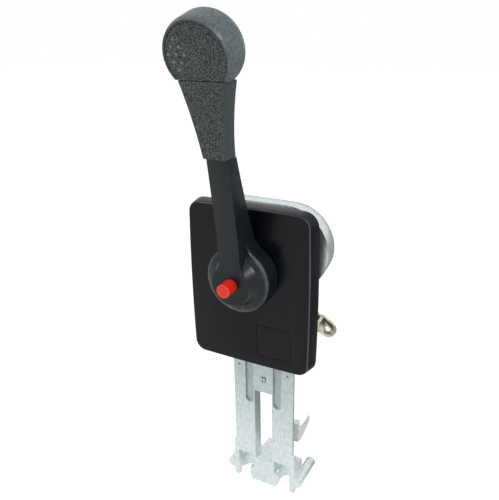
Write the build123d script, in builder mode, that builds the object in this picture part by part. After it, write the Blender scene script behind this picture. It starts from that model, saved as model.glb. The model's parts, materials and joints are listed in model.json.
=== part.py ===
from build123d import *
from math import atan2, cos, degrees, pi, radians, sin, sqrt, tan
import os

os.makedirs("parts", exist_ok=True)

# Side-mount throttle and shift lever, in millimetres.
# The lever shaft turns on the Y axis and the boat's panel lies against the housing at y = 0.
# X is to the right, Y goes into the panel and Z is up.

# General clearances
seat_gap = 0.02      # between pieces that are fixed to each other
run_gap = 0.06       # radial, between a shaft and its bush
free_gap = 0.35      # between pieces that move past each other

# Cover
panel_gap = 15.0     # room for the panel between the housing and the cover
cover_width = 119.6
cover_height = 147.0
cover_depth = 11.4
cover_draft_x = 3.1
cover_draft_z = 1.1
cover_drop = 15.6    # cover's centre below the shaft
cover_wall = 2.4
cover_corner = 13.0
cover_rim = 0.9
cover_bow_x = 1.3
cover_bow_z = 0.8
insert_width = 32.0
insert_height = 29.4
insert_x = 23.9
insert_z = -62.4
insert_depth = 1.5
insert_gap = 0.3
insert_corner = 1.6

# Housing, one die casting
face_thickness = 3.4
tray_depth = 16.0
tray_wall = 3.0
tray_half_width = 61.4
tray_top = 54.4
tray_corner = 38.5
tray_side_low = 5.1
tray_draft = 6.0
neck_half_width = 31.0
tray_shoulder = -40.5
tray_bottom = -63.0
spigot_r = 13.0
register_depth = 0.8     # recess in the panel face that centres the spigot and the spacers
groove_in = 10.4
groove_out = 18.9
groove_depth = 2.4
groove_bottom = -150.6
window_half_width = 9.2
window_top = -135.6
window_bottom = -217.1
rib_thickness = 3.0
window_rib_depth = 12.0
marker_x = 25.2
marker_z = window_top + 25.0
marker_r = 1.2
neck_screw_z = window_top + 14.0

# Foot with the two cable pockets
foot_depth = 35.0
cable_x = 19.75
pocket_width = 16.9
pocket_top = -213.6
foot_bottom = -244.6
saddle_bottom = -241.0
lip_top = -228.5
hub_seat_r = 7.25
hub_seat_y = 9.5
saddle_thickness = 5.0
block_lip = 3.5
leg_out = 33.0
mount_boss_x = 35.5
mount_boss_z = -231.6
mount_boss_r = 4.9
mount_boss_length = 37.0
boss_hole_r = 2.1
boss_hole_depth = 14.0
mount_hole_r = 2.75
upper_mount_x = tray_half_width - 16.4
gusset_top = -199.3
gusset_depth = 16.5
lug_in = 18.0
lug_top = -161.8
lug_height = 20.9
lug_depth = 21.4
lug_fall = 16.6
clip_band = 1.6
clip_r = 5.0
clip_width = 12.0
tongue_reach = 16.5
tongue_rise = 26.0
clip_x = (lug_in + neck_half_width - 3) / 2
clip_z = lug_top - lug_fall - lug_height / 2
rivet_r = 1.6
rivet_head_r = 2.8
rivet_bite = 5.0

# Fasteners
screw_r = 2.0
screw_hole_r = 2.2
screw_head_r = 3.6
screw_head_height = 2.4
neck_head_r = 2.8
post_r = 5.2
upper_post = (36.0, 40.0)
lower_post = (24.0, -74.0)
post_bite = 6.0
upper_plate_screw = (tray_half_width - 16.4, tray_top - 18.4)
lower_plate_screw = (21.5, -56.0)
plate_screw_length = 11.0

# Lever shaft and what it carries
shaft_r = 7.0
seat_r = 6.0
flat_height = 4.7
shaft_front = -42.0
shaft_step = 13.0
shaft_rear = 35.6
rod_r = 2.4
bush_wall = 2.0
bush_flange = 1.5
washer_thickness = 1.2
washer_r = 11.4
rear_plate_thickness = 2.5
crank_thickness = 3.0
crank_length = 34.0
crank_end_r = 7.0
crank_hub_r = 11.0
nut_flats = 16.0
nut_height = 5.0

# Gears
module = 1.5
drive_teeth = 16
sector_teeth = 32
gear_width = 5.2
gear_front = 7.4
collar_r = 9.0
collar_flat = 8.2
disc_r = 20.0
disc_thickness = 2.6
sector_half_angle = 60.0
backlash = 0.12
pressure_angle = 20.0
dog_r = 1.2
dog_length = 18.0
dog_y = 11.2
button_travel = 2.8
pitch_drive = module * drive_teeth / 2
pitch_sector = module * sector_teeth / 2
shift_z = -(pitch_drive + pitch_sector)

# Shift arm
shift_shaft_r = 5.0
arm_thickness = 3.0
tab_x = 53.9
tab_z = -65.2
tab_end_r = 8.0
tab_hole_r = 2.75
arm_hub_r = 12.5
joggle = 2.5
second_hole_share = 47.0
stud_share = 35.0
stud_r = 3.1
stud_length = 11.0
stud_flange_r = 5.0
stud_flange_height = 1.5

# Detent
ball_r = 2.5
detent_pocket_depth = 17.0
detent_boss_r = 5.6

# Lever
hub_face = -55.5
hub_face_r = 17.1
hub_cone_r = 21.7
hub_ledge = -45.0
hub_ledge_rise = 2.0
hub_ledge_r = 27.0
hub_shoulder = 4.0
hub_r = 28.8
hub_back = -28.0
hub_inner_r = 13.6
hub_skirt_wall = 3.2
arm_width = 18.5
arm_blend = 15.0
arm_lean = 9.3
lean_start = 50.0
arm_top = 106.0
arm_back_low = (26.0, -27.5)
arm_back_mid = (64.4, -42.6)
arm_back_high = (106.0, -56.6)
button_r = 5.75
button_tip = -68.0
button_guide = 3.6

# Grip and knob
grip_bottom = 106.4
tenon_width = 12.0
tenon_depth = 9.0
tenon_length = 42.0
tenon_lean = 14.5
knob_tilt = 16.4
knob_y = -92.0
knob_z = 177.2
knob_face_r = 24.4
knob_r = 26.3
knob_flare = 6.0
knob_depth = 33.8
knob_crown_r = 42.0
knob_corner = 12.5
knob_pad_r = 23.0
knob_pad_thickness = 2.6
seam_z = 162.0
seam_gap = 0.5
stud_bolt_r = 3.0
stud_bolt_bite = 13.0
stud_bolt_length = 44.0


# Planes and small shape helpers

def at_y(y):
    return Plane.XZ.offset(-y)


def outline_of(*points):
    with BuildSketch() as flat:
        with BuildLine():
            Polyline(*points, close=True)
        make_face()
    return flat.sketch


def bowed_rectangle(width, height, bow_x, bow_z, radius):
    x, z = width / 2, height / 2
    corner_x, corner_z = x - bow_x, z - bow_z
    with BuildSketch() as flat:
        with BuildLine():
            ThreePointArc((-corner_x, -corner_z), (0, -z), (corner_x, -corner_z))
            ThreePointArc((corner_x, -corner_z), (x, 0), (corner_x, corner_z))
            ThreePointArc((corner_x, corner_z), (0, z), (-corner_x, corner_z))
            ThreePointArc((-corner_x, corner_z), (-x, 0), (-corner_x, -corner_z))
        make_face()
        fillet(flat.vertices(), radius)
    return flat.sketch


def disc_with_arm(radius):
    half = arm_width / 2
    centre = (half + arm_blend, sqrt((radius + arm_blend) ** 2 - (half + arm_blend) ** 2))
    share = radius / (radius + arm_blend)
    touch = (share * centre[0], share * centre[1])
    turn = atan2(centre[1], centre[0]) / 2
    bulge = (centre[0] - arm_blend * cos(turn), centre[1] - arm_blend * sin(turn))
    with BuildSketch() as flat:
        with BuildLine():
            Line((half, arm_top), (half, centre[1]))
            ThreePointArc((half, centre[1]), bulge, touch)
            ThreePointArc(touch, (0, -radius), (-touch[0], touch[1]))
            ThreePointArc((-touch[0], touch[1]), (-bulge[0], bulge[1]), (-half, centre[1]))
            Line((-half, centre[1]), (-half, arm_top))
            Line((-half, arm_top), (half, arm_top))
        make_face()
    return flat.sketch


def flatted_circle(radius, flat):
    with BuildSketch() as flat_round:
        Circle(radius)
        Rectangle(2 * radius, 2 * flat, mode=Mode.INTERSECT)
    return flat_round.sketch


def involute_angle(radius, base):
    if radius <= base:
        return 0.0
    turn = sqrt((radius / base) ** 2 - 1)
    return turn - atan2(turn, 1)


def gear_outline(teeth, first_tooth):
    pitch = module * teeth / 2
    base = pitch * cos(radians(pressure_angle))
    root = pitch - 1.25 * module
    tip = pitch + module
    half_tooth = (pi * module / 2 - backlash) / 2 / pitch + involute_angle(pitch, base)
    low = max(root + 0.25, base)
    radii = [low + (tip - low) * share for share in (0, 0.3, 0.65, 1)]
    points = []
    for tooth in range(teeth):
        middle = first_tooth + 2 * pi * tooth / teeth
        left = [(root, half_tooth)] + [(r, half_tooth - involute_angle(r, base)) for r in radii]
        for r, turn in left:
            points.append((r * sin(middle - turn), r * cos(middle - turn)))
        for r, turn in reversed(left):
            points.append((r * sin(middle + turn), r * cos(middle + turn)))
    return outline_of(*points)


def coil(radius, wire_r, turns, length, plane):
    with BuildPart() as wound:
        with BuildLine() as path:
            Helix(length / turns, length, radius)
        with BuildSketch(Plane(origin=path.line @ 0, z_dir=path.line % 0)):
            RegularPolygon(wire_r, 4)
        sweep(is_frenet=True)
    return plane * wound.part


def finish(piece, name):
    piece.label = name
    export_step(piece, f"parts/{name}.step")


# Cover: drafted shell with bowed sides, screw bosses and a recess for the insert

cover_front = -panel_gap - cover_depth
cover_outer_back = bowed_rectangle(cover_width, cover_height, cover_bow_x, cover_bow_z, cover_corner)
cover_outer_front = bowed_rectangle(
    cover_width - 2 * cover_draft_x,
    cover_height - 2 * cover_draft_z,
    cover_bow_x,
    cover_bow_z,
    cover_corner - cover_draft_x,
)
cover_outer_rim = bowed_rectangle(
    cover_width - 2 * cover_draft_x - 2 * cover_rim,
    cover_height - 2 * cover_draft_z - 2 * cover_rim,
    cover_bow_x,
    cover_bow_z,
    cover_corner - cover_draft_x - cover_rim,
)
cover_inner_back = bowed_rectangle(
    cover_width - 2 * cover_wall,
    cover_height - 2 * cover_wall,
    cover_bow_x,
    cover_bow_z,
    cover_corner - cover_wall,
)
cover_inner_front = bowed_rectangle(
    cover_width - 2 * cover_draft_x - 2 * cover_wall,
    cover_height - 2 * cover_draft_z - 2 * cover_wall,
    cover_bow_x,
    cover_bow_z,
    cover_corner - cover_draft_x - cover_wall,
)
cover_posts = [(side * x, z) for x, z in (upper_post, lower_post) for side in (-1, 1)]
cover_hole_r = spigot_r + 0.6

with BuildPart() as cover:
    with BuildSketch(at_y(-panel_gap)):
        with Locations((0, -cover_drop)):
            add(cover_outer_back)
    with BuildSketch(at_y(cover_front + cover_rim)):
        with Locations((0, -cover_drop)):
            add(cover_outer_front)
    with BuildSketch(at_y(cover_front)):
        with Locations((0, -cover_drop)):
            add(cover_outer_rim)
    loft(ruled=True)
    with BuildSketch(at_y(-panel_gap)):
        with Locations((0, -cover_drop)):
            add(cover_inner_back)
    with BuildSketch(at_y(cover_front + cover_wall)):
        with Locations((0, -cover_drop)):
            add(cover_inner_front)
    loft(ruled=True, mode=Mode.SUBTRACT)
    with BuildSketch(at_y(cover_front + cover_wall / 2)):
        with Locations(*cover_posts):
            Circle(post_r - 0.6)
    extrude(amount=-(cover_depth - cover_wall / 2))
    with BuildSketch(at_y(cover_front)):
        with Locations((insert_x, insert_z)):
            RectangleRounded(insert_width + 2 * insert_gap, insert_height + 2 * insert_gap, insert_corner)
    extrude(amount=-insert_depth, mode=Mode.SUBTRACT)
    with BuildSketch(at_y(cover_front)):
        Circle(cover_hole_r)
        with Locations((insert_x - insert_width / 3, insert_z), (insert_x + insert_width / 3, insert_z)):
            Circle(1.5 + seat_gap)
    extrude(amount=-2 * cover_wall, mode=Mode.SUBTRACT)
    with BuildSketch(at_y(-panel_gap)):
        with Locations(*cover_posts):
            Circle(screw_r + seat_gap)
    extrude(amount=post_bite + 0.6, mode=Mode.SUBTRACT)
finish(cover.part, "cover")

with BuildPart() as blanking_insert:
    with BuildSketch(at_y(cover_front + insert_depth)):
        with Locations((insert_x, insert_z)):
            RectangleRounded(insert_width, insert_height, insert_corner - insert_gap)
    extrude(amount=insert_depth)
    chamfer(blanking_insert.faces().sort_by(Axis.Y)[0].edges(), 0.3)
    with BuildSketch(at_y(cover_front + insert_depth)):
        with Locations((insert_x - insert_width / 3, insert_z), (insert_x + insert_width / 3, insert_z)):
            Circle(1.5)
    extrude(amount=-(cover_wall - insert_depth + 0.8))
finish(blanking_insert.part, "blanking_insert")


# Housing: gear tray above, open neck below and the cable foot at its end

def tray_outline(inset):
    side = tray_half_width - inset
    neck = neck_half_width - inset
    slope = (tray_side_low - tray_shoulder) / (tray_half_width - neck_half_width)
    turn = sqrt(1 + slope * slope) - slope
    low = tray_side_low + inset * turn
    shoulder = low - slope * (side - neck)
    top = tray_top - inset
    bottom = tray_bottom + inset
    with BuildSketch() as flat:
        with BuildLine():
            Polyline(
                (side, low),
                (side, top),
                (-side, top),
                (-side, low),
                (-neck, shoulder),
                (-neck, bottom),
                (neck, bottom),
                (neck, shoulder),
                close=True,
            )
        make_face()
        tops = flat.vertices().group_by(Axis.Y)[-1]
        fillet(tops, tray_corner - inset)
        sides = flat.vertices().filter_by(lambda v: abs(v.Y - low) < 0.01 and abs(abs(v.X) - side) < 0.01)
        fillet(sides, (tray_top - tray_corner - low - 1) / turn)
    return flat.sketch


tray_inset = tray_depth * tan(radians(tray_draft))
tray_inner = tray_outline(tray_wall)
mount_bosses = [(side * mount_boss_x, mount_boss_z) for side in (-1, 1)]
upper_mounts = [(side * upper_mount_x, 0) for side in (-1, 1)]
plate_screws = [(side * x, z) for x, z in (upper_plate_screw, lower_plate_screw) for side in (-1, 1)]
block_half = cable_x - pocket_width / 2
bush_r = shaft_r + bush_wall
rib_middle = window_half_width + rib_thickness / 2
detent_y = gear_front - disc_thickness / 2 - 0.2
detent_boss_low = disc_r + 1.2

with BuildPart() as housing:
    # tray
    with BuildSketch(at_y(0)):
        add(tray_outline(0))
    with BuildSketch(at_y(tray_depth)):
        add(tray_outline(tray_inset))
    loft(ruled=True)
    with BuildSketch(at_y(face_thickness)):
        add(tray_inner)
    extrude(amount=-tray_depth, mode=Mode.SUBTRACT)
    # bosses inside the tray
    with BuildSketch(at_y(face_thickness / 2)):
        with Locations(*plate_screws):
            Circle(4.6)
        with Locations(*upper_mounts):
            Circle(mount_hole_r + 2.6)
    extrude(amount=-(tray_depth - face_thickness / 2))
    with BuildSketch(at_y(face_thickness / 2)):
        with Locations((0, shift_z)):
            Circle(shift_shaft_r + 3.2)
    extrude(amount=-(gear_front - free_gap - face_thickness / 2))
    with BuildSketch(Plane.XY.offset(detent_boss_low)):
        with Locations((0, detent_y)):
            Circle(detent_boss_r)
    extrude(amount=tray_top - tray_wall / 2 - detent_boss_low)
    # neck plate with its centre ribs
    with BuildSketch(at_y(0)):
        with Locations((0, (tray_bottom + pocket_top) / 2)):
            Rectangle(2 * neck_half_width, tray_bottom - pocket_top + 2)
    extrude(amount=-face_thickness)
    with BuildSketch(at_y(0)):
        with Locations((rib_middle, 0), (-rib_middle, 0)):
            with Locations((0, (tray_bottom + foot_bottom) / 2)):
                Rectangle(rib_thickness, tray_bottom - foot_bottom)
    extrude(amount=-window_rib_depth)
    with BuildSketch(at_y(0)):
        with Locations((rib_middle, 0), (-rib_middle, 0)):
            with Locations((0, (tray_bottom + window_top) / 2)):
                Rectangle(rib_thickness, tray_bottom - window_top)
        with Locations((0, neck_screw_z)):
            Circle(5.4)
    extrude(amount=-tray_depth)
    # foot: centre block, legs, saddle wall and mounting bosses
    with BuildSketch(at_y(0)) as block_face:
        with BuildLine():
            Polyline(
                (-block_half, window_bottom),
                (block_half, window_bottom),
                (block_half, lip_top),
                (block_half + block_lip, lip_top - 1.5),
                (block_half + block_lip, foot_bottom + 2.5),
                (block_half + block_lip - 2.5, foot_bottom),
                (-block_half - block_lip + 2.5, foot_bottom),
                (-block_half - block_lip, foot_bottom + 2.5),
                (-block_half - block_lip, lip_top - 1.5),
                (-block_half, lip_top),
                close=True,
            )
        make_face()
    extrude(amount=-foot_depth)
    with BuildSketch(at_y(hub_seat_y)):
        with Locations((0, (pocket_top - 4 + saddle_bottom) / 2)):
            Rectangle(2 * leg_out - 2, pocket_top - 4 - saddle_bottom)
    extrude(amount=-(hub_seat_r + saddle_thickness))
    for side in (-1, 1):
        with BuildSketch(Plane.YZ.offset(side * (leg_out + neck_half_width - tray_wall) / 2)):
            with BuildLine():
                Line((0, gusset_top), (1.0, gusset_top))
                ThreePointArc((1.0, gusset_top), (9.5, gusset_top - 13.2), (gusset_depth, gusset_top - 27.2))
                Polyline(
                    (gusset_depth, gusset_top - 27.2),
                    (gusset_depth, saddle_bottom + 4),
                    (face_thickness + 1.5, saddle_bottom + 1),
                    (face_thickness, foot_bottom),
                    (0, foot_bottom),
                    (0, gusset_top),
                )
            make_face()
        extrude(amount=(leg_out - neck_half_width + tray_wall) / 2, both=True)
    with BuildSketch(at_y(0)):
        with Locations(*mount_bosses):
            Circle(mount_boss_r)
    extrude(amount=-mount_boss_length)
    # cable lug on the right, sloping down and back from the neck plate
    with BuildSketch(Plane.YZ.offset(lug_in)):
        with BuildLine():
            Polyline(
                (0, lug_top),
                (face_thickness, lug_top),
                (lug_depth, lug_top - lug_fall),
                (lug_depth, lug_top - lug_fall - lug_height),
                (face_thickness, lug_top - lug_height),
                (0, lug_top - lug_height),
                close=True,
            )
        make_face()
    extrude(amount=neck_half_width - 3 - lug_in)
    with BuildSketch(at_y(lug_depth)):
        with Locations((clip_x, clip_z)):
            Circle(rivet_r + seat_gap)
    extrude(amount=rivet_bite + 0.4, mode=Mode.SUBTRACT)
    # openings: window, grooves, pockets and bores
    with BuildSketch(at_y(-1)):
        with Locations((0, (window_top + window_bottom) / 2)):
            Rectangle(2 * window_half_width, window_top - window_bottom)
    extrude(amount=-foot_depth - 2, mode=Mode.SUBTRACT)
    with BuildSketch(at_y(0)):
        for side in (-1, 1):
            with Locations((side * (groove_in + groove_out) / 2, (tray_bottom + groove_bottom) / 2)):
                SlotOverall(tray_bottom - groove_bottom, groove_out - groove_in, rotation=90)
    extrude(amount=-groove_depth, mode=Mode.SUBTRACT)
    with BuildSketch(at_y(0)):
        for side in (-1, 1):
            add(outline_of(
                (side * block_half, pocket_top),
                (side * (block_half + pocket_width), pocket_top),
                (side * (block_half + pocket_width), foot_bottom - 1),
                (side * (block_half + block_lip), foot_bottom - 1),
                (side * (block_half + block_lip), lip_top - 1.5),
                (side * block_half, lip_top),
            ))
    extrude(amount=-hub_seat_y, mode=Mode.SUBTRACT)
    with BuildSketch(Plane.XY.offset(foot_bottom - 1)):
        with Locations((-cable_x, hub_seat_y), (cable_x, hub_seat_y)):
            Circle(hub_seat_r)
    extrude(amount=pocket_top - foot_bottom + 1, mode=Mode.SUBTRACT)
    with BuildSketch(at_y(0)):
        Circle(bush_r + seat_gap)
        with Locations(*cover_posts):
            Circle(screw_hole_r)
    extrude(amount=-face_thickness, mode=Mode.SUBTRACT)
    with BuildSketch(at_y(0)):
        Circle(spigot_r + seat_gap)
        with Locations(*cover_posts):
            Circle(post_r + seat_gap)
    extrude(amount=-register_depth, mode=Mode.SUBTRACT)
    with BuildSketch(at_y(0)):
        with Locations(*upper_mounts):
            Circle(mount_hole_r)
        with Locations((marker_x, marker_z), (-marker_x, marker_z)):
            Circle(marker_r)
        with Locations((0, neck_screw_z)):
            Circle(screw_hole_r)
    extrude(amount=-tray_depth, mode=Mode.SUBTRACT)
    with BuildSketch(at_y(mount_boss_length)):
        with Locations(*mount_bosses):
            Circle(boss_hole_r)
    extrude(amount=boss_hole_depth, mode=Mode.SUBTRACT)
    with BuildSketch(at_y(0)):
        with Locations((0, neck_screw_z)):
            Circle(neck_head_r + 0.3)
    extrude(amount=-1.2, mode=Mode.SUBTRACT)
    with BuildSketch(at_y(tray_depth)):
        with Locations(*plate_screws):
            Circle(screw_r + seat_gap)
    extrude(amount=plate_screw_length - rear_plate_thickness + 0.5, mode=Mode.SUBTRACT)
    with BuildSketch(at_y(1.2)):
        with Locations((0, shift_z)):
            Circle(shift_shaft_r + run_gap)
    extrude(amount=-gear_front, mode=Mode.SUBTRACT)
    with BuildSketch(Plane.XY.offset(detent_boss_low - 1)):
        with Locations((0, detent_y)):
            Circle(ball_r + 0.1)
    extrude(amount=detent_pocket_depth + 1, mode=Mode.SUBTRACT)
finish(housing.part, "housing")

with BuildPart() as rear_plate:
    with BuildSketch(at_y(tray_depth)):
        add(tray_outline(tray_inset + 0.4))
        with Locations((0, (tray_bottom + 2 * tray_wall + window_top + 1) / 2)):
            Rectangle(2 * (window_half_width + rib_thickness), tray_bottom + 2 * tray_wall - window_top - 1)
    extrude(amount=-rear_plate_thickness)
    with BuildSketch(at_y(tray_depth)):
        Circle(seat_r + bush_wall + seat_gap)
        with Locations((0, shift_z)):
            Circle(shift_shaft_r + bush_wall + seat_gap)
        with Locations(*upper_mounts):
            Circle(mount_hole_r)
        with Locations((0, neck_screw_z)):
            Circle(screw_r + seat_gap)
    extrude(amount=-rear_plate_thickness, mode=Mode.SUBTRACT)
    with Locations(*[Location(Plane((x, tray_depth + rear_plate_thickness, z), z_dir=(0, 1, 0)))
                     for x, z in plate_screws]):
        CounterSinkHole(screw_hole_r, screw_head_r + 0.2, depth=rear_plate_thickness, counter_sink_angle=90)
finish(rear_plate.part, "rear_plate")

with BuildPart() as rear_plate_screws:
    plate_back = tray_depth + rear_plate_thickness
    with Locations(*[Location(Plane((x, plate_back, z), z_dir=(0, 1, 0))) for x, z in plate_screws]):
        Cylinder(screw_r, plate_screw_length, align=(Align.CENTER, Align.CENTER, Align.MAX))
        Cone(screw_r, screw_head_r, screw_head_r - screw_r, align=(Align.CENTER, Align.CENTER, Align.MAX))
        with Locations((0, 0, 0)):
            Box(4.6, 0.9, 1.6, mode=Mode.SUBTRACT)
            Box(0.9, 4.6, 1.6, mode=Mode.SUBTRACT)
finish(rear_plate_screws.part, "rear_plate_screws")

with BuildPart() as cover_spacers:
    with BuildSketch(at_y(register_depth)):
        with Locations(*cover_posts):
            Circle(post_r)
            Circle(screw_hole_r, mode=Mode.SUBTRACT)
    extrude(amount=panel_gap + register_depth)
finish(cover_spacers.part, "cover_spacers")

with BuildPart() as cover_screws:
    for (x, z) in cover_posts:
        with Locations(Location(Plane((x, face_thickness, z), z_dir=(0, 1, 0)))):
            Cylinder(
                screw_r,
                face_thickness + panel_gap + post_bite,
                align=(Align.CENTER, Align.CENTER, Align.MAX),
            )
            Cylinder(screw_head_r, screw_head_height, align=(Align.CENTER, Align.CENTER, Align.MIN))
            with Locations((0, 0, screw_head_height)):
                Box(4.4, 0.9, 2.4, mode=Mode.SUBTRACT)
                Box(0.9, 4.4, 2.4, mode=Mode.SUBTRACT)
finish(cover_screws.part, "cover_screws")

with BuildPart() as neck_screw:
    with Locations(Location(Plane((0, 1.2, neck_screw_z), z_dir=(0, -1, 0)))):
        Cylinder(
            screw_r,
            tray_depth + rear_plate_thickness - 1.2,
            align=(Align.CENTER, Align.CENTER, Align.MAX),
        )
        Cylinder(neck_head_r, screw_head_height, align=(Align.CENTER, Align.CENTER, Align.MIN))
        with Locations((0, 0, screw_head_height)):
            Box(3 * neck_head_r, 0.9, 2.0, mode=Mode.SUBTRACT)
    chamfer(neck_screw.edges().filter_by(GeomType.CIRCLE).sort_by(Axis.Y)[0], 0.6)
finish(neck_screw.part, "neck_screw")


# Bushes

with BuildPart() as front_bush:
    with BuildSketch():
        add(outline_of(
            (shaft_r + run_gap, -panel_gap - bush_flange),
            (spigot_r, -panel_gap - bush_flange),
            (spigot_r, register_depth),
            (bush_r, register_depth),
            (bush_r, face_thickness - 0.2),
            (shaft_r + run_gap, face_thickness - 0.2),
        ))
    revolve(axis=Axis.Y)
finish(front_bush.part, "front_bush")

rear_bush_back = tray_depth + rear_plate_thickness + bush_flange
with BuildPart() as rear_bush:
    with BuildSketch():
        add(outline_of(
            (seat_r + run_gap, tray_depth),
            (seat_r + bush_wall, tray_depth),
            (seat_r + bush_wall, tray_depth + rear_plate_thickness),
            (seat_r + bush_wall + 2.2, tray_depth + rear_plate_thickness),
            (seat_r + bush_wall + 2.2, rear_bush_back),
            (seat_r + run_gap, rear_bush_back),
        ))
    revolve(axis=Axis.Y)
finish(rear_bush.part, "rear_bush")

shift_axis = Axis((0, 0, shift_z), (0, 1, 0))
with BuildPart() as shift_bush:
    with BuildSketch(Plane.XY.offset(shift_z)):
        add(outline_of(
            (shift_shaft_r + run_gap, tray_depth),
            (shift_shaft_r + bush_wall, tray_depth),
            (shift_shaft_r + bush_wall, tray_depth + rear_plate_thickness),
            (shift_shaft_r + bush_wall + 2.0, tray_depth + rear_plate_thickness),
            (shift_shaft_r + bush_wall + 2.0, rear_bush_back - 0.5),
            (shift_shaft_r + run_gap, rear_bush_back - 0.5),
        ))
    revolve(axis=shift_axis)
finish(shift_bush.part, "shift_bush")


# Detent in the top of the tray: spring and ball above the notched disc

ball_z = disc_r + free_gap + ball_r
detent_spring_low = ball_z + ball_r
with BuildPart() as detent_ball:
    with Locations((0, detent_y, ball_z)):
        Sphere(ball_r)
finish(detent_ball.part, "detent_ball")

detent_coil = coil(
    ball_r - 0.9,
    0.45,
    4,
    detent_boss_low + detent_pocket_depth - detent_spring_low - 1.0,
    Plane((0, detent_y, detent_spring_low + 0.5)),
)
finish(detent_coil, "detent_spring")


# Cable clip: white nylon saddle on the lug

clip_y = lug_depth + clip_r + clip_band
with BuildPart() as cable_clip:
    with BuildSketch(Plane.XY.offset(clip_z - clip_width / 2)):
        with Locations((clip_x, clip_y)):
            Circle(clip_r + clip_band)
            Circle(clip_r, mode=Mode.SUBTRACT)
            with Locations((clip_r * 0.75, clip_r * 0.75)):
                Rectangle(1.5 * clip_r, 1.5 * clip_r, rotation=45, mode=Mode.SUBTRACT)
    extrude(amount=clip_width)
    with BuildSketch(Plane.XY.offset(clip_z - clip_width / 2)):
        with Locations((clip_x, lug_depth + clip_band / 2)):
            Rectangle(9, clip_band)
    extrude(amount=clip_width)
    with BuildSketch(at_y(lug_depth)):
        with BuildLine():
            Polyline(
                (clip_x - 4, clip_z - clip_width / 2),
                (clip_x + 6.5, clip_z - clip_width / 2 - 2),
                (clip_x + 10, clip_z + 1),
                (clip_x + tongue_reach, clip_z + tongue_rise - 6),
                (clip_x + tongue_reach - 1, clip_z + tongue_rise),
                (clip_x + 6.5, clip_z + clip_width / 2 + 2),
                (clip_x - 4, clip_z + clip_width / 2),
                close=True,
            )
        make_face()
    extrude(amount=-clip_band)
    with BuildSketch(at_y(lug_depth)):
        with Locations((clip_x, clip_z)):
            Circle(rivet_r + seat_gap)
    extrude(amount=-clip_band, mode=Mode.SUBTRACT)
    with BuildSketch(at_y(lug_depth + clip_band)):
        with Locations((clip_x, clip_z)):
            Circle(rivet_head_r + 0.2)
    extrude(amount=-clip_r, mode=Mode.SUBTRACT)
finish(cable_clip.part, "cable_clip")

with BuildPart() as clip_rivet:
    with BuildSketch(at_y(lug_depth + clip_band)):
        with Locations((clip_x, clip_z)):
            Circle(rivet_r)
    extrude(amount=clip_band + rivet_bite)
    with BuildSketch(at_y(lug_depth + clip_band)):
        with Locations((clip_x, clip_z)):
            Circle(rivet_head_r)
    extrude(amount=-1.1)
    chamfer(clip_rivet.faces().sort_by(Axis.Y)[-1].edges(), 0.6)
finish(clip_rivet.part, "clip_rivet")


# Lever shaft

dog_slot = 2 * dog_r + 0.6
with BuildPart() as main_shaft:
    crank_front = rear_bush_back + 6.5
    thread_r = seat_r - 1.1
    with BuildSketch():
        add(outline_of(
            (0, shaft_front),
            (seat_r, shaft_front),
            (seat_r, hub_back + 0.5),
            (shaft_r, hub_back + 0.5),
            (shaft_r, shaft_step),
            (seat_r, shaft_step),
            (seat_r, crank_front + crank_thickness),
            (thread_r, crank_front + crank_thickness),
            (thread_r, shaft_rear),
            (0, shaft_rear),
        ))
    revolve(axis=Axis.Y)
    with BuildSketch(at_y(shaft_front)):
        Circle(rod_r + 0.1)
    extrude(amount=-(dog_y + button_travel + 3 * dog_r - shaft_front), mode=Mode.SUBTRACT)
    with Locations((0, dog_y + button_travel / 2, 0)):
        Box(3 * shaft_r, button_travel + dog_slot, dog_slot, mode=Mode.SUBTRACT)
    for side in (-1, 1):
        with Locations((0, crank_front, side * flat_height)):
            Box(
                2 * shaft_r,
                crank_thickness,
                seat_r,
                align=(Align.CENTER, Align.MIN, Align.MIN if side > 0 else Align.MAX),
                mode=Mode.SUBTRACT,
            )
    with Locations((0, shaft_front, -flat_height)):
        Box(
            2 * shaft_r,
            hub_back + 0.5 - shaft_front,
            seat_r,
            align=(Align.CENTER, Align.MIN, Align.MAX),
            mode=Mode.SUBTRACT,
        )
finish(main_shaft.part, "main_shaft")

washer_front = -panel_gap - bush_flange - free_gap - washer_thickness
with BuildPart() as thrust_washer:
    with BuildSketch(at_y(washer_front)):
        Circle(washer_r)
        Circle(shaft_r + seat_gap, mode=Mode.SUBTRACT)
    extrude(amount=-washer_thickness)
finish(thrust_washer.part, "thrust_washer")

gear_back = gear_front + gear_width
with BuildPart() as drive_gear:
    with BuildSketch(at_y(gear_front)):
        add(gear_outline(drive_teeth, 0))
    extrude(amount=-gear_width)
    with BuildSketch(at_y(gear_front)):
        add(flatted_circle(collar_r, collar_flat))
    extrude(amount=disc_thickness + 0.6)
    with BuildSketch(at_y(gear_back)):
        Circle(shaft_r + seat_gap)
    extrude(amount=gear_width + disc_thickness + 1, mode=Mode.SUBTRACT)
    with Locations((0, dog_y - dog_slot / 2, 0)):
        Box(
            dog_length + 0.8,
            gear_width,
            dog_slot,
            align=(Align.CENTER, Align.MIN, Align.CENTER),
            mode=Mode.SUBTRACT,
        )
finish(drive_gear.part, "drive_gear")

notch_r = 3.2
with BuildPart() as detent_disc:
    with BuildSketch(at_y(gear_front - 0.2)):
        Circle(disc_r)
        add(flatted_circle(collar_r + seat_gap, collar_flat + seat_gap), mode=Mode.SUBTRACT)
        with PolarLocations(disc_r + notch_r - 1.2, 3, start_angle=60, angular_range=60):
            Circle(notch_r, mode=Mode.SUBTRACT)
        with PolarLocations(disc_r - 5.5, 3, start_angle=210, angular_range=120):
            Circle(2.6, mode=Mode.SUBTRACT)
    extrude(amount=disc_thickness)
finish(detent_disc.part, "detent_disc")

with BuildPart() as shaft_spacer:
    with BuildSketch(at_y(rear_bush_back + free_gap)):
        Circle(seat_r + bush_wall)
        Circle(seat_r + seat_gap, mode=Mode.SUBTRACT)
    extrude(amount=-(crank_front - rear_bush_back - free_gap))
finish(shaft_spacer.part, "shaft_spacer")

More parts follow.
